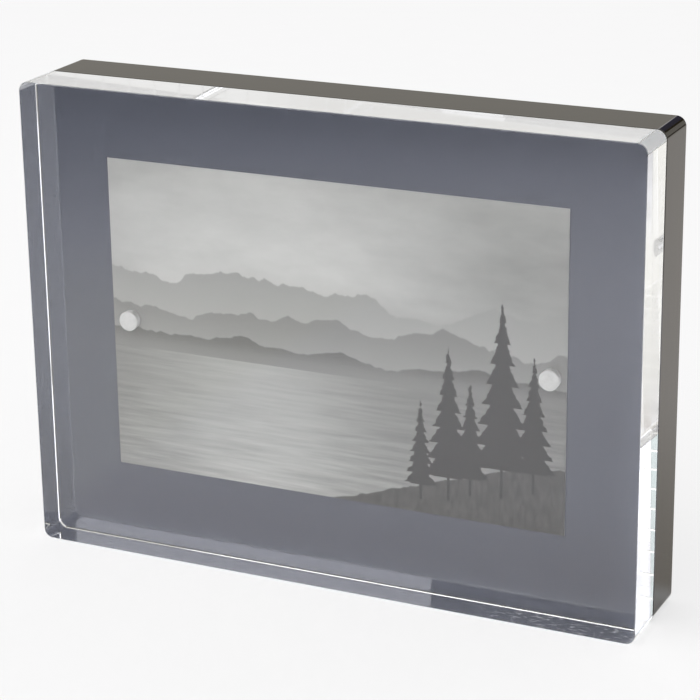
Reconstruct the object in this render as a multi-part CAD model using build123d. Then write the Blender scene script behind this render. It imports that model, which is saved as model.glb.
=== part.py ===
from build123d import *
import os

# The frame stands on z = 0, faces -Y, and has the middle of its footprint at the origin. Sizes are in millimetres.

# The print that the frame is made for
print_width = 150.0
print_height = 100.0
print_thickness = 0.25

# Where the print was laid, from the middle of the blocks
print_shift_x = -0.9
print_shift_z = 1.2

# The two blocks, which share one outline
border_width = 25.0
front_block_depth = 16.5
back_block_depth = 17.5
corner_radius = 3.0
polished_edge_radius = 0.4

# The air on each face of the print when the blocks are closed
print_clearance = 0.01

# The disc magnets and the blind holes that hold them
magnet_diameter = 6.0
magnet_length = 4.0
magnet_edge_radius = 0.3
magnet_side_clearance = 0.1
magnet_recess = 0.05
magnet_inset = 5.5

# The cured adhesive at the blind end of each hole
glue_thickness = 0.2

# Worked out from the sizes above
block_width = print_width + 2 * border_width
block_height = print_height + 2 * border_width
seam_gap = print_thickness + 2 * print_clearance
frame_depth = front_block_depth + seam_gap + back_block_depth
front_seam_y = front_block_depth - frame_depth / 2
back_seam_y = front_seam_y + seam_gap
magnet_x = print_width / 2 - magnet_inset
magnet_z = block_height / 2
hole_radius = magnet_diameter / 2 + magnet_side_clearance
hole_depth = magnet_recess + magnet_length + glue_thickness

# Each hole runs from its block's seam face into the block, towards -Y in front and +Y behind
sides = {"left": -magnet_x, "right": magnet_x}
seams = {"front": (front_seam_y, -1), "rear": (back_seam_y, 1)}


def polished_block(depth, rear_y):
    """A slab with rounded corners, whose front and rear rims are eased."""
    outline = RectangleRounded(block_width, block_height, corner_radius)
    sheet = Plane.XZ.offset(-rear_y) * Pos(0, block_height / 2) * outline
    slab = extrude(sheet, depth)
    faces_by_depth = slab.faces().sort_by(Axis.Y)
    rims = faces_by_depth[0].edges() + faces_by_depth[-1].edges()
    return fillet(rims, polished_edge_radius)


def round_plug(x, near_y, inward, radius, length):
    """A cylinder along Y at the magnets' height, from near_y into its block."""
    middle_y = near_y + inward * length / 2
    return Pos(x, middle_y, magnet_z) * Rot(X=90) * Cylinder(radius, length)


def bored_block(depth, rear_y, seam_y, inward):
    """A block with a blind hole for each of its magnets."""
    block = polished_block(depth, rear_y)
    for x in sides.values():
        block -= round_plug(x, seam_y, inward, hole_radius, hole_depth)
    return block


def magnet(x, seam_y, inward):
    """A plated disc magnet with rounded rims, just under the seam face."""
    disc = round_plug(x, seam_y + inward * magnet_recess, inward, magnet_diameter / 2, magnet_length)
    return fillet(disc.edges().filter_by(GeomType.CIRCLE), magnet_edge_radius)


def glue(x, seam_y, inward):
    """The disc of adhesive between a magnet and the blind end of its hole."""
    start_y = seam_y + inward * (magnet_recess + magnet_length)
    return round_plug(x, start_y, inward, hole_radius, glue_thickness)


def photo_print():
    """The flat print, a little off the middle of the blocks."""
    middle_y = (front_seam_y + back_seam_y) / 2
    middle_z = block_height / 2 + print_shift_z
    return Pos(print_shift_x, middle_y, middle_z) * Box(print_width, print_thickness, print_height)


parts = {
    "front_block": bored_block(front_block_depth, front_seam_y, *seams["front"]),
    "back_block": bored_block(back_block_depth, back_seam_y + back_block_depth, *seams["rear"]),
    "photo_print": photo_print(),
}
for block_name, (seam_y, inward) in seams.items():
    for side_name, x in sides.items():
        parts[f"{block_name}_magnet_{side_name}"] = magnet(x, seam_y, inward)
        parts[f"{block_name}_glue_{side_name}"] = glue(x, seam_y, inward)

os.makedirs("parts", exist_ok=True)
for name, solid in parts.items():
    solid.label = name
    export_step(solid, f"parts/{name}.step")
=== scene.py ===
import math

import bmesh
import bpy
from bpy.props import FloatProperty, FloatVectorProperty, IntProperty, PointerProperty
from mathutils import Matrix, Vector


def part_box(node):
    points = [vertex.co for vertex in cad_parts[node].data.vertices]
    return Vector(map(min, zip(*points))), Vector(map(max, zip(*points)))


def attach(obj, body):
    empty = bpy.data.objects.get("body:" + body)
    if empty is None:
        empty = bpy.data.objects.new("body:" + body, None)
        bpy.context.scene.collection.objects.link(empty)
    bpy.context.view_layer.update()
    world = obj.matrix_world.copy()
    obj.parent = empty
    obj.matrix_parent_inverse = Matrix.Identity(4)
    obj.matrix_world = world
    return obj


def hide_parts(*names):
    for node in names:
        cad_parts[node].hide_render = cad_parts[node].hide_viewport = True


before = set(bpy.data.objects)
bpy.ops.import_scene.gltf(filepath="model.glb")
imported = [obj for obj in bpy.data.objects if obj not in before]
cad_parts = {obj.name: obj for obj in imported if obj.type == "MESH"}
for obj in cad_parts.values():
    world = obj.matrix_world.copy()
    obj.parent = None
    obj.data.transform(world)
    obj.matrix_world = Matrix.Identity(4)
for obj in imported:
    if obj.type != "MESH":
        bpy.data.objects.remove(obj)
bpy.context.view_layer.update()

bl_info = {
    "name": "Acrylic Block Frame",
    "version": (1, 0, 0),
    "blender": (4, 5, 0),
    "location": "View3D > Sidebar > Block Frame",
    "description": "Dresses a magnetic picture frame made of a clear and a grey acrylic block",
    "category": "Object",
}

MM = 0.001
QUARTER = math.pi / 2
WHITE = (1.0, 1.0, 1.0)
BLACK = (0.0, 0.0, 0.0)

# Depth from an outer face within which a mask holds, and half the width of a corner's fine line of painted
# shade
SKIN = 0.2 * MM
LINE = 0.09 * MM

# Points nearer than this are joined, and edges that turn further than this stay sharp
WELD = 0.001 * MM
SHARP_TURN = math.radians(40)
HOLE_FACES = 64

# Rise above the waterline, frequency, swing, tone and seed of each range of hills, the far one first
HILL_RANGES = (
    (0.26, 1.5, 0.15, 0.50, 11.0),
    (0.15, 2.4, 0.10, 0.34, 5.0),
    (0.06, 3.6, 0.05, 0.18, 23.0),
)

# Place across, foot and height of each pine, in heights of the print
PINES = (
    (1.04, 0.06, 0.30),
    (1.13, 0.08, 0.46),
    (1.20, 0.10, 0.34),
    (1.30, 0.12, 0.58),
    (1.40, 0.14, 0.40),
)


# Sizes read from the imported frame

def size_of(node):
    low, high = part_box(node)
    return high - low


def middle_of(node):
    low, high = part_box(node)
    return (low + high) / 2


CLEAR_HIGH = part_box("front_block")[1]
GREY_LOW, GREY_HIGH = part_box("back_block")
PRINT_LOW, PRINT_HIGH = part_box("photo_print")
MAGNET_SIZE = size_of("front_magnet_left")
GLUE_SIZE = size_of("front_glue_left")
MAGNET_PLACE = middle_of("front_magnet_right")
FRONT_GLUE_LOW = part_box("front_glue_right")[0]


class BlockSettings(bpy.types.PropertyGroup):
    """Sizes of the two polished blocks and the look of their acrylic"""

    width: FloatProperty(
        name="Width", description="Width of both blocks", unit="LENGTH", default=size_of("front_block").x)
    height: FloatProperty(
        name="Height", description="Height of both blocks", unit="LENGTH", default=size_of("front_block").z)
    clear_depth: FloatProperty(
        name="Clear Depth", description="Thickness of the clear block", unit="LENGTH",
        default=size_of("front_block").y)
    grey_depth: FloatProperty(
        name="Grey Depth", description="Thickness of the grey block", unit="LENGTH",
        default=size_of("back_block").y)
    corner_radius: FloatProperty(
        name="Corner Radius", description="Radius of the blocks' corners seen from the front", unit="LENGTH",
        default=3.0 * MM)
    edge_radius: FloatProperty(
        name="Edge Radius", description="Radius of the polished front and rear rims", unit="LENGTH",
        default=0.4 * MM)
    corner_steps: IntProperty(name="Corner Steps", description="Faces round each corner", default=20)
    edge_steps: IntProperty(name="Edge Steps", description="Faces across each rim", default=5)
    refraction: FloatProperty(
        name="Refraction", description="Index of refraction of acrylic", default=1.49, min=1.0, max=2.0)
    corner_haze: FloatProperty(
        name="Corner Haze", description="Roughness of the clear block's rounded top corners",
        subtype="FACTOR", min=0.0, max=1.0, default=0.4)
    clear_tint: FloatVectorProperty(
        name="Clear Tint", description="Colour left by one metre of clear acrylic", subtype="COLOR", size=3,
        min=0.0, max=1.0, default=(0.98, 0.993, 0.992))
    # The seam face and the outer faces are the same grey acrylic: the lighter, cooler seam grey is painted
    # light and the darker, warmer side grey is painted shade, for how the light falls on each face
    seam_painted_lit_grey: FloatVectorProperty(
        name="Seam Grey", description="Cool grey of the face that shows through the clear block",
        subtype="COLOR", size=3, min=0.0, max=1.0, default=(0.126, 0.136, 0.171))
    side_painted_shaded_grey: FloatVectorProperty(
        name="Side Grey", description="Warm grey of the grey block's outer faces", subtype="COLOR", size=3,
        min=0.0, max=1.0, default=(0.020, 0.016, 0.009))


class MagnetSettings(bpy.types.PropertyGroup):
    """Sizes of the disc magnets and of the adhesive behind them"""

    diameter: FloatProperty(
        name="Diameter", description="Diameter of each magnet", unit="LENGTH", default=MAGNET_SIZE.x)
    length: FloatProperty(
        name="Length", description="Length of each magnet", unit="LENGTH", default=MAGNET_SIZE.y)
    rim_radius: FloatProperty(
        name="Rim Radius", description="Radius of the magnets' plated rims", unit="LENGTH", default=0.3 * MM)
    offset: FloatProperty(
        name="Offset", description="Distance of each magnet from the middle of the width", unit="LENGTH",
        default=MAGNET_PLACE.x)
    hole_diameter: FloatProperty(
        name="Hole Diameter", description="Diameter of the blind holes", unit="LENGTH", default=GLUE_SIZE.x)
    hole_depth: FloatProperty(
        name="Hole Depth", description="Depth of the blind holes", unit="LENGTH",
        default=CLEAR_HIGH.y - FRONT_GLUE_LOW.y)
    bond: FloatProperty(
        name="Bond", description="Depth to which the clear block grips its magnets, with no air between",
        unit="LENGTH", default=0.02 * MM)
    nickel: FloatVectorProperty(
        name="Nickel", description="Colour of the magnets' plating", subtype="COLOR", size=3,
        min=0.0, max=1.0, default=(0.88, 0.88, 0.87))
    adhesive: FloatVectorProperty(
        name="Adhesive", description="Colour of the cured adhesive", subtype="COLOR", size=3,
        min=0.0, max=1.0, default=(0.86, 0.86, 0.85))


class PrintSettings(bpy.types.PropertyGroup):
    """Tones of the generic landscape on the print"""

    paper: FloatVectorProperty(
        name="Paper", description="Colour of the bare paper at the print's edges", subtype="COLOR", size=3,
        min=0.0, max=1.0, default=(0.62, 0.62, 0.60))
    light_tone: FloatVectorProperty(
        name="Light Tone", description="Tone of the brightest part of the sky", subtype="COLOR", size=3,
        min=0.0, max=1.0, default=(0.72, 0.72, 0.70))
    dark_tone: FloatVectorProperty(
        name="Dark Tone", description="Tone of the darkest motif", subtype="COLOR", size=3,
        min=0.0, max=1.0, default=(0.030, 0.028, 0.024))
    waterline: FloatProperty(
        name="Waterline", description="Height of the far shore, as a share of the print's height",
        subtype="FACTOR", min=0.0, max=1.0, default=0.40)


class StageSettings(bpy.types.PropertyGroup):
    """Camera, lamp, cards, world and floor"""

    azimuth: FloatProperty(
        name="Azimuth", description="Camera's turn to the right of the front", subtype="ANGLE",
        default=math.radians(25.346))
    elevation: FloatProperty(
        name="Elevation", description="Camera's height above the horizon", subtype="ANGLE",
        default=math.radians(19.281))
    roll: FloatProperty(
        name="Roll", description="Camera's turn about its own line of sight", subtype="ANGLE",
        default=math.radians(0.797))
    distance: FloatProperty(
        name="Distance", description="Camera's distance from the point that it aims at", unit="LENGTH",
        default=0.748)
    aim: FloatVectorProperty(
        name="Aim", description="Point that the camera aims at", subtype="TRANSLATION", size=3,
        default=(0.0030, -0.0024, 0.0731))
    focal_length: FloatProperty(
        name="Focal Length", description="Focal length on a sensor 36 mm wide", subtype="DISTANCE_CAMERA",
        default=127.633)
    key_azimuth: FloatProperty(
        name="Key Azimuth", description="Turn of the large lamp to the left of the front", subtype="ANGLE",
        default=math.radians(40.0))
    key_elevation: FloatProperty(
        name="Key Elevation", description="Height of the large lamp above the horizon", subtype="ANGLE",
        default=math.radians(58.0))
    key_distance: FloatProperty(
        name="Key Distance", description="Distance of the large lamp from the frame", unit="LENGTH",
        default=1.5)
    key_size: FloatVectorProperty(
        name="Key Size", description="Width and height of the large lamp", subtype="XYZ_LENGTH", size=2,
        default=(0.86, 1.20))
    key_power: FloatProperty(
        name="Key Power", description="Power of the large lamp at the upper left", unit="POWER", default=5.8)
    sky_strength: FloatProperty(
        name="Sky Strength", description="Level of the even light from all round", default=0.86)
    wall_colour: FloatVectorProperty(
        name="Wall Colour", description="Low wall behind the frame, in reflections", subtype="COLOR", size=3,
        min=0.0, max=1.0, default=(0.53, 0.51, 0.47))
    curtain_colour: FloatVectorProperty(
        name="Curtain Colour", description="Dark curtain above the low wall, in reflections",
        subtype="COLOR", size=3, min=0.0, max=1.0, default=(0.04, 0.05, 0.13))
    gap_colour: FloatVectorProperty(
        name="Gap Colour", description="Dim front of the room beside the left card, in reflections",
        subtype="COLOR", size=3, min=0.0, max=1.0, default=(0.12, 0.12, 0.15))
    window_colour: FloatVectorProperty(
        name="Window Colour", description="Cool window behind at the left, in reflections", subtype="COLOR",
        size=3, min=0.0, max=1.0, default=(0.87, 0.99, 1.0))
    ceiling_colour: FloatVectorProperty(
        name="Ceiling Colour", description="Ceiling, in reflections", subtype="COLOR", size=3,
        min=0.0, max=1.0, default=(0.82, 0.81, 0.75))
    floor_tone: FloatProperty(
        name="Floor Tone", description="Grey level of the floor as lamps see it", subtype="FACTOR",
        default=0.82)
    floor_white: FloatProperty(
        name="Floor White", description="Level of the floor where it is seen", subtype="FACTOR", default=0.95)
    floor_lift: FloatProperty(
        name="Floor Lift", description="Part of the floor's white that shadows don't darken where it is seen",
        subtype="FACTOR", default=0.65)
    foot_lift: FloatProperty(
        name="Foot Lift", description="The same under the frame, where it shows through the clear block",
        subtype="FACTOR", default=0.94)
    # Painted light: in reflections the floor in front is brighter and bluer than its white
    painted_front_light: FloatVectorProperty(
        name="Front Tint", description="Tint of the floor in front, in reflections", subtype="COLOR", size=3,
        min=0.0, soft_max=1.0, default=(1.06, 1.06, 1.11))
    # Painted shadow: in reflections the floor close to the front is darker and warmer, for the blocks'
    # contact shadow
    painted_foot_shadow: FloatVectorProperty(
        name="Foot Tint", description="Tint of the floor close to the front, in reflections",
        subtype="COLOR", size=3, min=0.0, max=1.0, default=(0.80, 0.76, 0.73))
    rear_tint: FloatVectorProperty(
        name="Rear Tint", description="Tint of the floor behind at the right, in reflections",
        subtype="COLOR", size=3, min=0.0, max=1.0, default=(0.91, 0.87, 0.83))
    # Painted shadow: the same darkening close to the grey block, behind at the right
    painted_rear_foot_shadow: FloatVectorProperty(
        name="Rear Foot Tint", description="The same close to the grey block", subtype="COLOR", size=3,
        min=0.0, max=1.0, default=(0.70, 0.66, 0.61))
    left_tint: FloatVectorProperty(
        name="Left Tint", description="Tint of the floor at the left, through the clear block",
        subtype="COLOR", size=3, min=0.0, max=1.0, default=(0.98, 0.975, 0.93))
    card_edge: FloatVectorProperty(
        name="Card Edge", description="Foot of the left card's right edge", subtype="TRANSLATION", size=3,
        default=(-0.189, -0.517, 0.05))
    card_size: FloatVectorProperty(
        name="Card Size", description="Width and height of the card at the left", subtype="XYZ_LENGTH",
        size=2, default=(0.47, 0.222))
    card_glow: FloatProperty(
        name="Card Glow", description="Level of the left card in reflections", default=2.1)
    slim_card_edge: FloatVectorProperty(
        name="Slim Card Edge", description="Foot of the right edge of the slim card over the left one",
        subtype="TRANSLATION", size=3, default=(-0.245, -0.517, 0.272))
    slim_card_size: FloatVectorProperty(
        name="Slim Card Size", description="Width and height of the slim card", subtype="XYZ_LENGTH",
        size=2, default=(0.042, 0.08))
    slim_card_glow: FloatProperty(
        name="Slim Card Glow", description="Level of the slim card in reflections", default=1.4)
    side_card_edge: FloatVectorProperty(
        name="Side Card Edge", description="Foot of the right card's front edge", subtype="TRANSLATION",
        size=3, default=(0.125, -0.078, 0.0))
    side_card_size: FloatVectorProperty(
        name="Side Card Size", description="Width and height of the card at the right", subtype="XYZ_LENGTH",
        size=2, default=(0.128, 0.095))
    side_card_glow: FloatProperty(
        name="Side Card Glow", description="Level of the right card in reflections", default=2.0)
    card_tint: FloatVectorProperty(
        name="Card Tint", description="Colour of the cards", subtype="COLOR", size=3, min=0.0, soft_max=1.0,
        default=(0.98, 0.985, 1.06))


SETTING_GROUPS = {
    "frame_blocks": BlockSettings,
    "frame_magnets": MagnetSettings,
    "frame_print": PrintSettings,
    "frame_stage": StageSettings,
}


# Node trees written as expressions

class Wire:
    """An output socket. Arithmetic on it adds Math nodes."""

    def __init__(self, maker, socket):
        self.maker = maker
        self.socket = socket

    def _math(self, operation, *values):
        return self.maker.node("ShaderNodeMath", {"operation": operation}, values)

    def __add__(self, other):
        return self._math("ADD", self, other)

    def __radd__(self, other):
        return self._math("ADD", other, self)

    def __sub__(self, other):
        return self._math("SUBTRACT", self, other)

    def __rsub__(self, other):
        return self._math("SUBTRACT", other, self)

    def __mul__(self, other):
        return self._math("MULTIPLY", self, other)

    def __rmul__(self, other):
        return self._math("MULTIPLY", other, self)

    def __truediv__(self, other):
        return self._math("DIVIDE", self, other)

    def __rtruediv__(self, other):
        return self._math("DIVIDE", other, self)

    def __pow__(self, other):
        return self._math("POWER", self, other)

    def __neg__(self):
        return self._math("MULTIPLY", self, -1.0)

    def __gt__(self, other):
        return self._math("GREATER_THAN", self, other)

    def __lt__(self, other):
        return self._math("LESS_THAN", self, other)

    def floor(self):
        return self._math("FLOOR", self)

    def fraction(self):
        return self._math("FRACT", self)

    def sin(self):
        return self._math("SINE", self)

    def cos(self):
        return self._math("COSINE", self)

    def sign(self):
        return self._math("SIGN", self)

    def abs(self):
        return self._math("ABSOLUTE", self)

    def sqrt(self):
        return self._math("SQRT", self)

    def least(self, other):
        return self._math("MINIMUM", self, other)

    def most(self, other):
        return self._math("MAXIMUM", self, other)


class Maker:
    """Adds nodes to a tree. node takes a type, its settings, and its sockets' values or wires."""

    def __init__(self, tree):
        self.tree = tree

    def node(self, kind, settings=None, sockets=(), output=0):
        made = self.tree.nodes.new(kind)
        for name, value in (settings or {}).items():
            setattr(made, name, value)
        pairs = sockets.items() if isinstance(sockets, dict) else enumerate(sockets)
        for key, value in pairs:
            for one in value if isinstance(value, list) else [value]:
                self.feed(made.inputs[key], one)
        return Wire(self, made.outputs[output])

    def feed(self, socket, value):
        if isinstance(value, Wire):
            self.tree.links.new(value.socket, socket)
        elif value is not None:
            socket.default_value = value

    def vector(self, x=0.0, y=0.0, z=0.0):
        return self.node("ShaderNodeCombineXYZ", None, (x, y, z))

    def split(self, vector):
        parts = self.node("ShaderNodeSeparateXYZ", None, [vector])
        outputs = parts.socket.node.outputs
        return [Wire(self, outputs[axis]) for axis in range(3)]

    def ramp(self, value, low, high, to_low=0.0, to_high=1.0):
        return self.node("ShaderNodeMapRange", {"interpolation_type": "SMOOTHSTEP"},
                         (value, low, high, to_low, to_high))

    def between(self, value, low, high, soft):
        """1 from low to high, with soft ends outside them."""
        return self.ramp(value, low - soft, low) * self.ramp(value, high + soft, high)

    def blend(self, factor, first, second):
        sockets = {0: factor, 6: colour(first), 7: colour(second)}
        return self.node("ShaderNodeMix", {"data_type": "RGBA"}, sockets, 2)

    def ray_kinds(self):
        """Masks of the rays from the camera, and of those that only gloss and glass have sent on."""
        outputs = self.node("ShaderNodeLightPath").socket.node.outputs
        camera, glossy, through = (
            Wire(self, outputs[f"Is {kind} Ray"]) for kind in ("Camera", "Glossy", "Transmission"))
        scattered = Wire(self, outputs["Diffuse Depth"])
        return camera, glossy.most(through) * (scattered < 0.5)


class ShapeMaker(Maker):
    """A Geometry Nodes tree with named inputs, which plain_mesh() turns into a plain mesh."""

    def __init__(self, name):
        super().__init__(bpy.data.node_groups.new(name, "GeometryNodeTree"))
        self.tree.interface.new_socket("Geometry", in_out="OUTPUT", socket_type="NodeSocketGeometry")
        self.group_input = self.tree.nodes.new("NodeGroupInput")
        self.values = {}

    def named(self, name, value, kind="NodeSocketFloat"):
        socket = self.tree.interface.new_socket(name, in_out="INPUT", socket_type=kind)
        self.values[socket.identifier] = value
        return Wire(self, self.group_input.outputs[name])

    def finish(self, geometry, material):
        slot_wire = self.named("Material", material, "NodeSocketMaterial")
        real = self.node("GeometryNodeRealizeInstances", None, [geometry])
        painted = self.node("GeometryNodeSetMaterial", None, {"Geometry": real, "Material": slot_wire})
        out = self.tree.nodes.new("NodeGroupOutput")
        self.tree.links.new(painted.socket, out.inputs[0])


class Paint(Maker):
    """A material's shader tree."""

    def __init__(self, name):
        self.material = bpy.data.materials.new(name)
        self.material.use_nodes = True
        super().__init__(self.material.node_tree)
        self.tree.nodes.clear()
        self.place = self.node("ShaderNodeTexCoord", None, (), "Object")
        self.x, self.y, self.z = self.split(self.place)

    def noise(self, scale, detail=2.0, roughness=0.5, stretch=None, where=None):
        place = where or self.place
        if stretch:
            sockets = {"Vector": place, "Scale": stretch}
            place = self.node("ShaderNodeMapping", {"vector_type": "POINT"}, sockets)
        return self.node("ShaderNodeTexNoise", None,
                         {"Vector": place, "Scale": scale, "Detail": detail, "Roughness": roughness})

    def noise_along(self, place, detail, roughness):
        """Noise along one line, for an uneven edge."""
        return self.node("ShaderNodeTexNoise", {"noise_dimensions": "1D"},
                         {"W": place, "Scale": 1.0, "Detail": detail, "Roughness": roughness})

    def over(self, below, above, cover):
        """The level above where cover is 1, and the level below where it is 0."""
        return below + (above - below) * cover

    def dyed(self, first, second):
        """Two colours multiplied."""
        sockets = {0: 1.0, 6: colour(first), 7: colour(second)}
        return self.node("ShaderNodeMix", {"data_type": "RGBA", "blend_type": "MULTIPLY"}, sockets, 2)

    def grey(self, level):
        return self.blend(level, BLACK, WHITE)

    def bump(self, height, strength, distance):
        sockets = {"Strength": strength, "Distance": distance, "Height": height}
        return self.node("ShaderNodeBump", None, sockets)

    def surface(self, **sockets):
        named = {name.replace("_", " "): colour(value) for name, value in sockets.items()}
        return self.node("ShaderNodeBsdfPrincipled", None, named)

    def end(self, shader, volume=None):
        out = self.tree.nodes.new("ShaderNodeOutputMaterial")
        self.tree.links.new(shader.socket, out.inputs["Surface"])
        if volume:
            self.tree.links.new(volume.socket, out.inputs["Volume"])
        return self.material


def colour(value):
    """A colour with its alpha, from a property or a tuple; anything else as it is."""
    if isinstance(value, (Wire, int, float)):
        return value
    return (*value[:3], 1.0)


# Materials

def painted_corner_lines(p, blocks):
    """1 on the fine lines of painted shade where the clear block's flat outer faces turn into its rounded
    corners.
    """
    level = (p.z - blocks.height / 2).abs()
    across = p.x.abs()
    on_top = (across - (blocks.width / 2 - blocks.corner_radius)).abs() < LINE
    on_top = on_top * (level > blocks.height / 2 - SKIN)
    on_side = (level - (blocks.height / 2 - blocks.corner_radius)).abs() < LINE
    on_side = on_side * (across > blocks.width / 2 - SKIN)
    return on_top.most(on_side)


def top_rounds(p, blocks):
    """1 on the clear block's two rounded top corners."""
    beside = (p.x.abs() - (blocks.width / 2 - blocks.corner_radius)).most(0.0)
    above = (p.z - (blocks.height - blocks.corner_radius)).most(0.0)
    from_middle = (beside ** 2.0 + above ** 2.0).sqrt()
    return (from_middle > blocks.corner_radius - SKIN) * (beside > LINE) * (above > LINE)


def polish(p):
    """The faint waves of a polished face."""
    return p.bump(p.noise(9.0, 1.0, 0.4), 0.02, 0.002 * MM)


def clear_acrylic(blocks):
    """Polished clear acrylic, a little scuffed underneath, with a haze at its corners and fine dark lines
    painted as shade where its flat faces turn into its rounded corners.
    """
    p = Paint("clear_acrylic")
    smudge = p.ramp(p.noise(28.0, 3.0, 0.6), 0.52, 0.75)
    scratches = p.ramp(p.noise(800.0, 3.0, 0.7, (0.4, 1.0, 1.0)), 0.56, 0.62)
    scuff = scratches * (p.z < SKIN) * p.ramp(p.x, 0.02, 0.07)
    roughness = smudge * 0.001 + scuff * 0.45 + top_rounds(p, blocks) * blocks.corner_haze
    clear = (0.995, 0.998, 1.0)
    # Painted shade: this dark line colour stands in for the lines that refraction draws where the flat faces
    # meet the rounded corners
    painted_refraction_line = (0.06, 0.06, 0.065)
    shader = p.surface(
        Base_Color=p.blend(painted_corner_lines(p, blocks), clear, painted_refraction_line),
        Roughness=roughness, IOR=blocks.refraction, Transmission_Weight=1.0, Normal=polish(p))
    body_tint = p.node("ShaderNodeVolumeAbsorption", None, (colour(blocks.clear_tint), 1.0))
    return p.end(shader, body_tint)


def grey_acrylic(blocks):
    """Polished opaque acrylic of one colour, painted as lit and shaded copies of it: a lighter cool grey on
    the seam face and a darker warm grey outside.
    """
    p = Paint("grey_acrylic")
    painted_lit_seam = p.y < GREY_LOW.y + 0.05 * MM
    cloud = p.noise(14.0, 4.0, 0.55)
    # Painted light and shade: the lit grey on the seam face, the shaded grey on the outer faces
    tone = p.blend(painted_lit_seam, blocks.side_painted_shaded_grey, blocks.seam_painted_lit_grey)
    clouded = p.dyed(tone, p.blend(cloud, (0.97, 0.97, 0.975), (1.03, 1.03, 1.025)))
    roughness = p.ramp(p.noise(40.0, 3.0, 0.6), 0.3, 0.8, 0.004, 0.02)
    shader = p.surface(Base_Color=clouded, Roughness=roughness, IOR=blocks.refraction, Normal=polish(p))
    return p.end(shader)


def nickel_plate(magnets):
    """Satin nickel with a fine mottle."""
    p = Paint("nickel_plate")
    mottle = p.noise(900.0, 3.0, 0.6)
    tone = p.blend(mottle, [c * 0.93 for c in magnets.nickel], magnets.nickel)
    shader = p.surface(Base_Color=tone, Metallic=1.0, Roughness=p.ramp(mottle, 0.3, 0.7, 0.30, 0.42),
                       Normal=p.bump(mottle, 0.1, 0.02 * MM))
    return p.end(shader)


def cured_adhesive(magnets):
    """Pale, slightly uneven adhesive."""
    p = Paint("cured_adhesive")
    mottle = p.noise(700.0, 4.0, 0.6)
    dark = [c * 0.86 for c in magnets.adhesive]
    pale = [min(1.0, c * 1.1) for c in magnets.adhesive]
    tone = p.blend(mottle, dark, pale)
    shader = p.surface(Base_Color=tone, Roughness=p.ramp(mottle, 0.3, 0.7, 0.35, 0.55),
                       Normal=p.bump(mottle, 0.2, 0.03 * MM))
    return p.end(shader)


def printed_paper(look):
    """A lake between hills under a soft sky, with pines on its near bank, in warm greys."""
    p = Paint("printed_paper")
    height = PRINT_HIGH.z - PRINT_LOW.z
    across = (p.x - PRINT_LOW.x) / height
    up = (p.z - PRINT_LOW.z) / height
    flat = p.vector(across, up)
    picture = soft_sky(p, across, up, flat)
    picture = with_hills(p, picture, across, up, look.waterline)
    picture = with_lake(p, picture, across, up, flat, look.waterline)
    picture = with_bank(p, picture, across, up, flat)
    picture = with_pines(p, picture, across, up, flat)
    grain = p.noise(9.0, 0.0, 0.5, (90.0, 90.0, 1.0), flat)
    picture = picture + (grain - 0.5) * 0.05
    tone = p.blend(picture.most(0.0).least(1.0), look.dark_tone, look.light_tone)
    on_front = p.y < PRINT_LOW.y + 0.02 * MM
    tone = p.blend(on_front, look.paper, tone)
    satin = p.noise(1200.0, 2.0, 0.5)
    shader = p.surface(Base_Color=tone, Roughness=p.ramp(satin, 0.3, 0.7, 0.38, 0.5),
                       Normal=p.bump(satin, 0.08, 0.01 * MM))
    return p.end(shader)


def soft_sky(p, across, up, flat):
    """Streaks of cloud with a glow behind them."""
    cloud = p.noise(1.7, 6.0, 0.6, (1.0, 2.6, 1.0), flat)
    glow = p.ramp((across - 0.45).abs(), 0.9, 0.0) * p.ramp((up - 0.78).abs(), 0.5, 0.0)
    return 0.58 + glow * 0.36 + (cloud - 0.5) * 0.62


def with_hills(p, picture, across, up, waterline):
    """The ranges of hills, with mist at their feet."""
    for rise, frequency, swing, tone, seed in HILL_RANGES:
        line = p.noise_along(across * frequency + seed, 7.0, 0.58)
        crest = waterline + rise + (line - 0.5) * swing * 2.0
        mist = p.ramp(up, waterline, waterline + rise * 1.3, 0.20, 0.0)
        picture = p.over(picture, mist + tone, p.ramp(crest - up, -0.003, 0.003))
    return picture


def with_lake(p, picture, across, up, flat, waterline):
    """Rippled water, lighter towards its middle."""
    ripple = p.noise(7.0, 5.0, 0.62, (0.5, 9.0, 1.0), flat)
    depth = p.ramp(waterline - up, 0.0, waterline)
    glint = p.ramp((across - 0.5).abs(), 0.55, 0.0)
    water = 0.36 + depth * 0.10 + glint * 0.30 + (ripple - 0.5) * (0.35 + depth * 0.45)
    return p.over(picture, water, p.ramp(waterline - up, -0.002, 0.002))


def with_bank(p, picture, across, up, flat):
    """A grassy bank that rises to the right."""
    edge = p.noise_along(across * 3.0 + 2.0, 8.0, 0.62)
    bank_top = p.ramp(across, 0.55, 1.5, -0.03, 0.20) + (edge - 0.5) * 0.07
    grass = p.noise(38.0, 4.0, 0.65, (1.6, 0.6, 1.0), flat)
    return p.over(picture, grass * 0.24 - 0.02, p.ramp(bank_top - up, -0.003, 0.003))


def with_pines(p, picture, across, up, flat):
    """Tiered pines with ragged needles."""
    needles = (p.noise(70.0, 3.0, 0.7, None, flat) - 0.5) * 0.022
    tiers = 9.0
    trunk_radius = 0.0045
    tree_tone = 0.03
    for middle, foot, tall in PINES:
        down = (foot + tall - up) / tall
        tier = (down * tiers).fraction() * 0.45 + 0.55
        spread = down * tier * tall * 0.20 + needles
        tree = p.ramp(spread - (across - middle).abs(), -0.002, 0.002) * p.between(down, 0.0, 0.9, 0.004)
        trunk = ((across - middle).abs() < trunk_radius) * p.between(down, 0.5, 1.06, 0.004)
        picture = p.over(picture, tree_tone, tree.most(trunk))
    return picture


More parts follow.
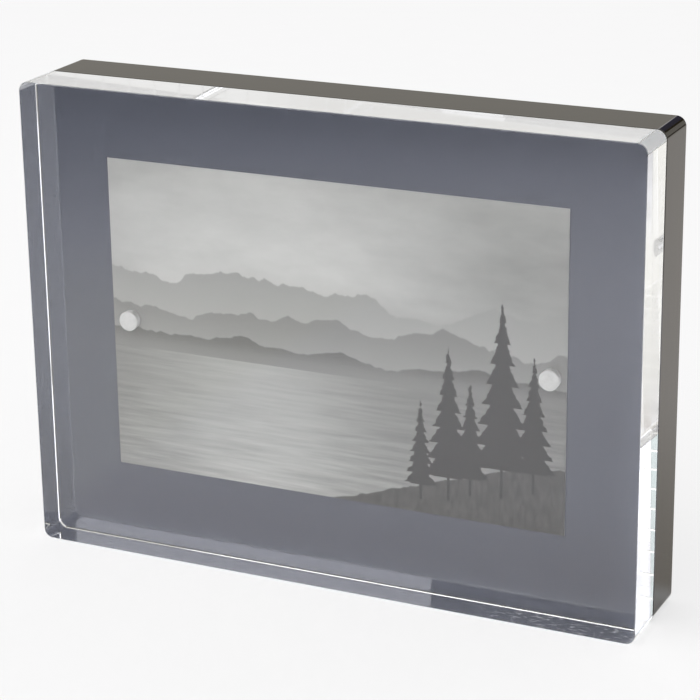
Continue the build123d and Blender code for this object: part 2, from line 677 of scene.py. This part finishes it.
def studio_floor(stage):
    """White with a soft shadow where it is seen. Gloss and glass see painted shade on it far in front and far
    behind, and its painted tints near the blocks.
    """
    p = Paint("studio_floor")
    camera, mirrored = p.ray_kinds()
    seen = camera.most(mirrored)
    # Painted shade, seen only by gloss and glass: the floor darkens far in front towards the camera's side,
    # and far behind
    painted_shade_in_front = p.ramp(p.y + p.x * 0.6, -0.24, -0.76)
    painted_shade_behind = p.ramp(p.y, 1.0, 1.2)
    share_lost = 0.88
    kept = 1.0 - painted_shade_in_front.most(painted_shade_behind) * mirrored * share_lost
    under = (p.x.abs() < CLEAR_HIGH.x) * (p.y.abs() < GREY_HIGH.y)
    lift = camera * stage.floor_lift + mirrored * under * stage.foot_lift
    grain = p.noise(60.0, 3.0, 0.5) * 0.01 - 0.005
    plain = seen * stage.floor_white + (1.0 - seen) * stage.floor_tone
    base = (plain - lift + grain) * kept
    tint = floor_tint(p, mirrored, stage)
    return p.end(p.surface(
        Base_Color=p.dyed(p.grey(base), tint), Roughness=0.9, Specular_IOR_Level=0.0,
        Emission_Color=p.dyed(p.grey(lift * kept), tint), Emission_Strength=1.0))


def floor_tint(p, mirrored, stage):
    """The floor's tints in reflections: painted light in front, painted shadow close to the front and close
    to the grey block, and tints behind at the right and at the left.
    """
    in_front = mirrored * p.ramp(p.y, -0.018, -0.022)
    behind_right = mirrored * p.ramp(p.y, 0.018, 0.03) * p.ramp(p.x, 0.07, 0.10)
    at_left = mirrored * p.ramp(p.x, -0.10, -0.12) * p.ramp(p.y, -0.32, -0.22)
    # Painted light: the floor in front, brighter and bluer in reflections
    tint = p.blend(in_front, WHITE, stage.painted_front_light)
    # Painted shadow: darker and warmer close to the front, for the blocks' contact shadow
    tint = p.blend(in_front * p.ramp(p.y, -0.12, -0.02), tint, stage.painted_foot_shadow)
    # Painted shadow: darker close to the grey block behind, for its contact shadow
    rear_tint = p.blend(p.ramp(p.y, 0.04, 0.20), stage.painted_rear_foot_shadow, stage.rear_tint)
    tint = p.blend(behind_right, tint, rear_tint)
    return p.blend(at_left, tint, stage.left_tint)


# Geometry Nodes shapes

def rounded_position(m, around, width, height, radius, ring_radius, steps, level):
    """The place of point number around on a rounded rectangle, its corners drawn in to ring_radius."""
    corner = ((around + 0.5) / (steps + 1)).floor()
    step = around - corner * (steps + 1)
    angle = (corner + step / steps) * QUARTER
    diagonal = corner * QUARTER + QUARTER / 2
    x = diagonal.cos().sign() * (width / 2 - radius) + ring_radius * angle.cos()
    y = diagonal.sin().sign() * (height / 2 - radius) + ring_radius * angle.sin()
    return m.vector(x, y, level)


def rounded_slab(m, width, height, depth, radius, ease, corner_steps, edge_steps):
    """A rounded slab from z = 0 to depth: its wall, its top, its bottom rim's edges and its bottom."""
    index = m.node("GeometryNodeInputIndex")
    rows = (edge_steps + 1) * 2
    points = (corner_steps + 1) * 4
    grid = m.node("GeometryNodeMeshGrid", None, (1.0, 1.0, points + 1, rows))
    around = ((index + 0.5) / rows).floor()
    row = index - around * rows
    half = ((row + 0.5) / (edge_steps + 1)).floor()
    lean = (half + (row - half * (edge_steps + 1)) / edge_steps) * QUARTER
    ring_radius = radius - ease + ease * lean.sin()
    level = ease + half * (depth - ease * 2) - ease * lean.cos()
    spot = rounded_position(m, around, width, height, radius, ring_radius, corner_steps, level)
    wall = m.node("GeometryNodeSetPosition", None, {"Geometry": grid, "Position": spot})
    rim_spot = rounded_position(m, index, width, height, radius, radius - ease, corner_steps, 0.0)
    rim = m.node("GeometryNodeMeshCircle", {"fill_type": "NONE"}, (points, 1.0))
    rim = m.node("GeometryNodeSetPosition", None, {"Geometry": rim, "Position": rim_spot})
    cap = m.node("GeometryNodeMeshCircle", {"fill_type": "NGON"}, (points, 1.0))
    cap = m.node("GeometryNodeSetPosition", None, {"Geometry": cap, "Position": rim_spot})
    top = m.node("GeometryNodeTransform", None, {"Geometry": cap, "Translation": m.vector(0.0, 0.0, depth)})
    return wall, top, rim, cap


def block_shape(name, blocks, magnets, depth, seam_y, turn, hole_diameter, hole_depth, material):
    """A block with two blind holes in its seam face, its depth running away from seam_y."""
    m = ShapeMaker(name)
    width = m.named("Width", blocks.width)
    height = m.named("Height", blocks.height)
    deep = m.named("Depth", depth)
    radius = m.named("Corner Radius", blocks.corner_radius)
    ease = m.named("Edge Radius", blocks.edge_radius)
    corner_steps = m.named("Corner Steps", blocks.corner_steps, "NodeSocketInt")
    edge_steps = m.named("Edge Steps", blocks.edge_steps, "NodeSocketInt")
    hole_radius = m.named("Hole Radius", hole_diameter / 2)
    sunk = m.named("Hole Depth", hole_depth)
    apart = m.named("Hole Offset", magnets.offset)
    hole_height = m.named("Hole Height", MAGNET_PLACE.z - blocks.height / 2)
    wall, top, rim, _ = rounded_slab(m, width, height, deep, radius, ease, corner_steps, edge_steps)

    places = m.node("GeometryNodeMeshLine", None, {
        "Count": 2, "Start Location": m.vector(-apart, hole_height), "Offset": m.vector(apart * 2.0)})
    circle = m.node("GeometryNodeMeshCircle", {"fill_type": "NONE"}, (HOLE_FACES, hole_radius))
    disc = m.node("GeometryNodeMeshCircle", {"fill_type": "NGON"}, (HOLE_FACES, hole_radius))
    mouths = m.node("GeometryNodeInstanceOnPoints", None, {"Points": places, "Instance": circle})
    mouths = m.node("GeometryNodeRealizeInstances", None, [mouths])
    down = m.vector(0.0, 0.0, sunk)
    sides = m.node("GeometryNodeExtrudeMesh", {"mode": "EDGES"}, {
        "Mesh": mouths, "Offset": down, "Offset Scale": 1.0})
    ends = m.node("GeometryNodeInstanceOnPoints", None, {"Points": places, "Instance": disc})
    ends = m.node("GeometryNodeTransform", None, {"Geometry": ends, "Translation": down})
    ends = m.node("GeometryNodeRealizeInstances", None, [ends])
    outlines = m.node("GeometryNodeJoinGeometry", None, [[rim, mouths]])
    outlines = m.node("GeometryNodeMeshToCurve", None, [outlines])
    seam_face = m.node("GeometryNodeFillCurve", {"mode": "NGONS"}, [outlines])

    whole = m.node("GeometryNodeJoinGeometry", None, [[wall, top, seam_face, sides, ends]])
    welded = m.node("GeometryNodeMergeByDistance", None, {"Geometry": whole, "Distance": WELD})
    stood = m.node("GeometryNodeTransform", None, {
        "Geometry": welded, "Translation": (0.0, seam_y, blocks.height / 2),
        "Rotation": (QUARTER, 0.0, turn)})
    m.finish(stood, material)
    return m


def magnet_shape(name, magnets, near_y, material):
    """Two disc magnets with rounded rims, one at each side, from near_y towards +Y."""
    m = ShapeMaker(name)
    across = m.named("Diameter", magnets.diameter)
    length = m.named("Length", magnets.length)
    rim = m.named("Rim Radius", magnets.rim_radius)
    apart = m.named("Offset", magnets.offset)
    corner_steps = m.named("Corner Steps", 12, "NodeSocketInt")
    edge_steps = m.named("Edge Steps", 4, "NodeSocketInt")
    wall, top, _, base = rounded_slab(m, across, across, length, across / 2, rim, corner_steps, edge_steps)
    disc = m.node("GeometryNodeJoinGeometry", None, [[wall, top, base]])
    disc = m.node("GeometryNodeMergeByDistance", None, {"Geometry": disc, "Distance": WELD})
    places = m.node("GeometryNodeMeshLine", None, {
        "Count": 2, "Start Location": m.vector(-apart), "Offset": m.vector(apart * 2.0)})
    pair = m.node("GeometryNodeInstanceOnPoints", None, {"Points": places, "Instance": disc})
    stood = m.node("GeometryNodeTransform", None, {
        "Geometry": pair, "Translation": (0.0, near_y + magnets.length, MAGNET_PLACE.z),
        "Rotation": (QUARTER, 0.0, 0.0)})
    m.finish(stood, material)
    return m


def plain_mesh(maker, name):
    """The tree's result as a closed plain mesh with outward normals, shaded smooth over its rounded parts."""
    holder = bpy.data.objects.new(name, bpy.data.meshes.new(name + "_holder"))
    bpy.context.scene.collection.objects.link(holder)
    modifier = holder.modifiers.new("shape", "NODES")
    modifier.node_group = maker.tree
    for identifier, value in maker.values.items():
        modifier[identifier] = value
    holder.data = evaluated_mesh(holder, modifier)
    shape = bmesh.new()
    shape.from_mesh(holder.data)
    bmesh.ops.recalc_face_normals(shape, faces=shape.faces)
    for face in shape.faces:
        face.smooth = True
    for edge in shape.edges:
        edge.smooth = edge.calc_face_angle(math.pi) < SHARP_TURN
    loose = sum(1 for edge in shape.edges if len(edge.link_faces) != 2)
    shape.to_mesh(holder.data)
    shape.free()
    if loose:
        raise RuntimeError(f"{name} has {loose} open edges")
    even = holder.modifiers.new("even", "WEIGHTED_NORMAL")
    even.mode = "FACE_AREA"
    even.keep_sharp = True
    holder.data = evaluated_mesh(holder, even)
    holder.data.name = name
    return holder


def evaluated_mesh(holder, modifier):
    """The mesh that the modifier makes, after which the modifier is removed."""
    bpy.context.view_layer.update()
    graph = bpy.context.evaluated_depsgraph_get()
    mesh = bpy.data.meshes.new_from_object(
        holder.evaluated_get(graph), preserve_all_data_layers=True, depsgraph=graph)
    holder.modifiers.remove(modifier)
    return mesh


def dress(node, material):
    """A CAD node keeps its shape and takes a better material."""
    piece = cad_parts[node]
    for slot in piece.material_slots:
        slot.material = material
    if not piece.material_slots:
        piece.data.materials.append(material)


class FRAME_OT_clear_block(bpy.types.Operator):
    """Make the clear front block with its polished rims and its magnet holes"""

    bl_idname = "block_frame.clear_block"
    bl_label = "Clear Block"

    def execute(self, context):
        blocks = context.scene.frame_blocks
        magnets = context.scene.frame_magnets
        material = clear_acrylic(blocks)
        maker = block_shape("clear_block_shape", blocks, magnets, blocks.clear_depth, CLEAR_HIGH.y, 0.0,
                            magnets.diameter - magnets.bond * 2, magnets.hole_depth - magnets.bond, material)
        piece = plain_mesh(maker, "clear_front_block")
        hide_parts("front_block")
        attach(piece, "front")
        return {"FINISHED"}


class FRAME_OT_grey_block(bpy.types.Operator):
    """Make the grey back block with its polished rims and its magnet holes"""

    bl_idname = "block_frame.grey_block"
    bl_label = "Grey Block"

    def execute(self, context):
        blocks = context.scene.frame_blocks
        magnets = context.scene.frame_magnets
        material = grey_acrylic(blocks)
        maker = block_shape("grey_block_shape", blocks, magnets, blocks.grey_depth, GREY_LOW.y, math.pi,
                            magnets.hole_diameter, magnets.hole_depth, material)
        piece = plain_mesh(maker, "grey_back_block")
        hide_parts("back_block")
        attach(piece, "back")
        return {"FINISHED"}


class FRAME_OT_magnets(bpy.types.Operator):
    """Make the pair of plated magnets in each block"""

    bl_idname = "block_frame.magnets"
    bl_label = "Magnets"

    def execute(self, context):
        magnets = context.scene.frame_magnets
        material = nickel_plate(magnets)
        for where, body in (("front", "front"), ("rear", "back")):
            near_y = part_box(f"{where}_magnet_left")[0].y
            maker = magnet_shape(f"{where}_magnet_shape", magnets, near_y, material)
            piece = plain_mesh(maker, f"{where}_magnets")
            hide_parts(f"{where}_magnet_left", f"{where}_magnet_right")
            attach(piece, body)
        return {"FINISHED"}


class FRAME_OT_adhesive(bpy.types.Operator):
    """Give the cured adhesive behind each magnet its finish"""

    bl_idname = "block_frame.adhesive"
    bl_label = "Adhesive"

    def execute(self, context):
        material = cured_adhesive(context.scene.frame_magnets)
        for where in ("front", "rear"):
            for side in ("left", "right"):
                dress(f"{where}_glue_{side}", material)
        return {"FINISHED"}


class FRAME_OT_photo_print(bpy.types.Operator):
    """Give the print its generic landscape and its paper edges"""

    bl_idname = "block_frame.photo_print"
    bl_label = "Print"

    def execute(self, context):
        dress("photo_print", printed_paper(context.scene.frame_print))
        return {"FINISHED"}


class FRAME_OT_stage(bpy.types.Operator):
    """Make the floor, the cards, the even light, the large lamp and the camera"""

    bl_idname = "block_frame.stage"
    bl_label = "Stage"

    def execute(self, context):
        stage = context.scene.frame_stage
        add_floor(stage)
        add_cards(stage)
        add_light(stage)
        add_camera(stage)
        set_render(context.scene)
        return {"FINISHED"}


def add_floor(stage):
    """A wide floor, a hair below the blocks' feet."""
    reach = 6.0
    below = 0.05 * MM
    mesh = bpy.data.meshes.new("floor")
    turns = ((-1, -1), (1, -1), (1, 1), (-1, 1))
    mesh.from_pydata([(x * reach, y * reach, -below) for x, y in turns], [], [(0, 1, 2, 3)])
    mesh.materials.append(studio_floor(stage))
    floor = bpy.data.objects.new("floor", mesh)
    bpy.context.scene.collection.objects.link(floor)


def add_cards(stage):
    """White cards at the front left and at the right, which only gloss and glass see."""
    to_left = (-1.0, 0.0)
    to_back = (0.0, 1.0)
    cards = (
        ("left_card", stage.card_edge, stage.card_size, to_left, stage.card_glow),
        ("slim_card", stage.slim_card_edge, stage.slim_card_size, to_left, stage.slim_card_glow),
        ("right_card", stage.side_card_edge, stage.side_card_size, to_back, stage.side_card_glow),
    )
    for name, edge, size, direction, glow in cards:
        add_card(name, edge, size, direction, glow, stage.card_tint)


def add_card(name, edge, size, direction, glow, tint):
    """An upright card that runs from the foot of one edge in a direction along the floor."""
    p = Paint(name)
    _, mirrored = p.ray_kinds()
    shine = p.blend(mirrored, BLACK, tint)
    material = p.end(p.node("ShaderNodeEmission", None, (shine, glow)))
    x, y, z = edge
    width, height = size
    far_x = x + direction[0] * width
    far_y = y + direction[1] * width
    mesh = bpy.data.meshes.new(name)
    corners = [(far_x, far_y, z), (x, y, z), (x, y, z + height), (far_x, far_y, z + height)]
    mesh.from_pydata(corners, [], [(3, 2, 1, 0)])
    mesh.materials.append(material)
    card = bpy.data.objects.new(name, mesh)
    bpy.context.scene.collection.objects.link(card)
    card.visible_camera = False
    card.visible_diffuse = False
    card.visible_shadow = False


def add_light(stage):
    """Even light from all round, which gloss and glass see as walls, a dark curtain and a ceiling."""
    world = bpy.data.worlds.new("studio")
    bpy.context.scene.world = world
    world.use_nodes = True
    m = Maker(world.node_tree)
    m.tree.nodes.clear()
    camera, mirrored = m.ray_kinds()
    # The parts of each ray's direction: to the right, to the back and up
    sideways, ahead, rise = m.split(m.node("ShaderNodeTexCoord", None, (), "Generated"))
    behind = m.ramp(ahead, 0.3, 0.5)
    wall = m.between(rise, -0.02, 0.25, 0.012) * m.between(sideways, -0.62, 0.42, 0.04) * behind
    curtain = m.between(rise, 0.262, 0.42, 0.012) * m.between(sideways, -0.22, 0.28, 0.008) * behind
    post = m.between(rise, 0.20, 0.42, 0.012) * m.between(sideways, 0.185, 0.283, 0.004) * behind
    in_front = m.ramp(ahead, -0.3, -0.5)
    gap = m.between(sideways, -0.42, 0.78, 0.02) * m.between(rise, 0.16, 0.72, 0.03) * in_front
    window = m.between(rise, 0.36, 0.45, 0.02) * m.between(sideways, -0.34, -0.24, 0.02) * behind
    room = m.blend(m.ramp(rise, 0.60, 0.70), WHITE, stage.ceiling_colour)
    room = m.blend(window, room, stage.window_colour)
    room = m.blend(wall, room, stage.wall_colour)
    room = m.blend(curtain, room, stage.curtain_colour)
    room = m.blend(post, room, BLACK)
    room = m.blend(gap, room, stage.gap_colour)
    tint = m.blend(mirrored, WHITE, room)
    level = stage.sky_strength + camera.most(mirrored) * (1.0 - stage.sky_strength)
    sky = m.node("ShaderNodeBackground", None, (tint, level))
    out = m.tree.nodes.new("ShaderNodeOutputWorld")
    m.tree.links.new(sky.socket, out.inputs["Surface"])

    lamp = bpy.data.lights.new("key", "AREA")
    lamp.shape = "RECTANGLE"
    lamp.size, lamp.size_y = stage.key_size
    lamp.energy = stage.key_power
    key = bpy.data.objects.new("key", lamp)
    level_reach = math.cos(stage.key_elevation)
    toward = Vector((-math.sin(stage.key_azimuth) * level_reach, -math.cos(stage.key_azimuth) * level_reach,
                     math.sin(stage.key_elevation)))
    facing = toward.to_track_quat("Z", "Y").to_matrix().to_4x4()
    key.matrix_world = Matrix.Translation(toward * stage.key_distance) @ facing
    bpy.context.scene.collection.objects.link(key)


def add_camera(stage):
    """The camera at the photograph's angle."""
    azimuth, elevation = stage.azimuth, stage.elevation
    back = Vector((math.sin(azimuth) * math.cos(elevation), -math.cos(azimuth) * math.cos(elevation),
                   math.sin(elevation)))
    right = Vector((math.cos(azimuth), math.sin(azimuth), 0.0))
    upright = back.cross(right)
    facing = Matrix((right, upright, back)).transposed() @ Matrix.Rotation(-stage.roll, 3, "Z")
    camera = bpy.data.cameras.new("camera")
    camera.sensor_width = 36.0
    camera.lens = stage.focal_length
    camera.clip_start = 0.05
    camera.clip_end = 30.0
    holder = bpy.data.objects.new("camera", camera)
    holder.matrix_world = Matrix.Translation(Vector(stage.aim) + back * stage.distance) @ facing.to_4x4()
    bpy.context.scene.collection.objects.link(holder)
    bpy.context.scene.camera = holder


def set_render(scene):
    """Plain colours, and enough bounces for light to cross the clear block many times."""
    bounces = 128
    scene.view_settings.view_transform = "Standard"
    scene.cycles.max_bounces = bounces
    scene.cycles.glossy_bounces = bounces
    scene.cycles.transmission_bounces = bounces
    scene.cycles.diffuse_bounces = 4
    scene.cycles.blur_glossy = 0.0
    scene.cycles.denoising_input_passes = "RGB_ALBEDO"
    scene.cycles.sampling_pattern = "BLUE_NOISE"


OPERATORS = (FRAME_OT_clear_block, FRAME_OT_grey_block, FRAME_OT_magnets, FRAME_OT_adhesive,
             FRAME_OT_photo_print, FRAME_OT_stage)


class FRAME_PT_panel(bpy.types.Panel):
    """Lists the settings and the operators that make the pieces"""

    bl_idname = "FRAME_PT_panel"
    bl_label = "Block Frame"
    bl_space_type = "VIEW_3D"
    bl_region_type = "UI"
    bl_category = "Block Frame"

    def draw(self, context):
        for group_name, group in SETTING_GROUPS.items():
            box = self.layout.box()
            for name in group.__annotations__:
                box.prop(getattr(context.scene, group_name), name)
        for operator in OPERATORS:
            self.layout.operator(operator.bl_idname)


CLASSES = (*SETTING_GROUPS.values(), *OPERATORS, FRAME_PT_panel)


def register():
    for one in CLASSES:
        bpy.utils.register_class(one)
    for name, group in SETTING_GROUPS.items():
        setattr(bpy.types.Scene, name, PointerProperty(type=group))


def unregister():
    for name in SETTING_GROUPS:
        delattr(bpy.types.Scene, name)
    for one in reversed(CLASSES):
        bpy.utils.unregister_class(one)


def main():
    register()
    bpy.ops.block_frame.clear_block()
    bpy.ops.block_frame.grey_block()
    bpy.ops.block_frame.magnets()
    bpy.ops.block_frame.adhesive()
    bpy.ops.block_frame.photo_print()
    bpy.ops.block_frame.stage()


if __name__ == "__main__":
    main()
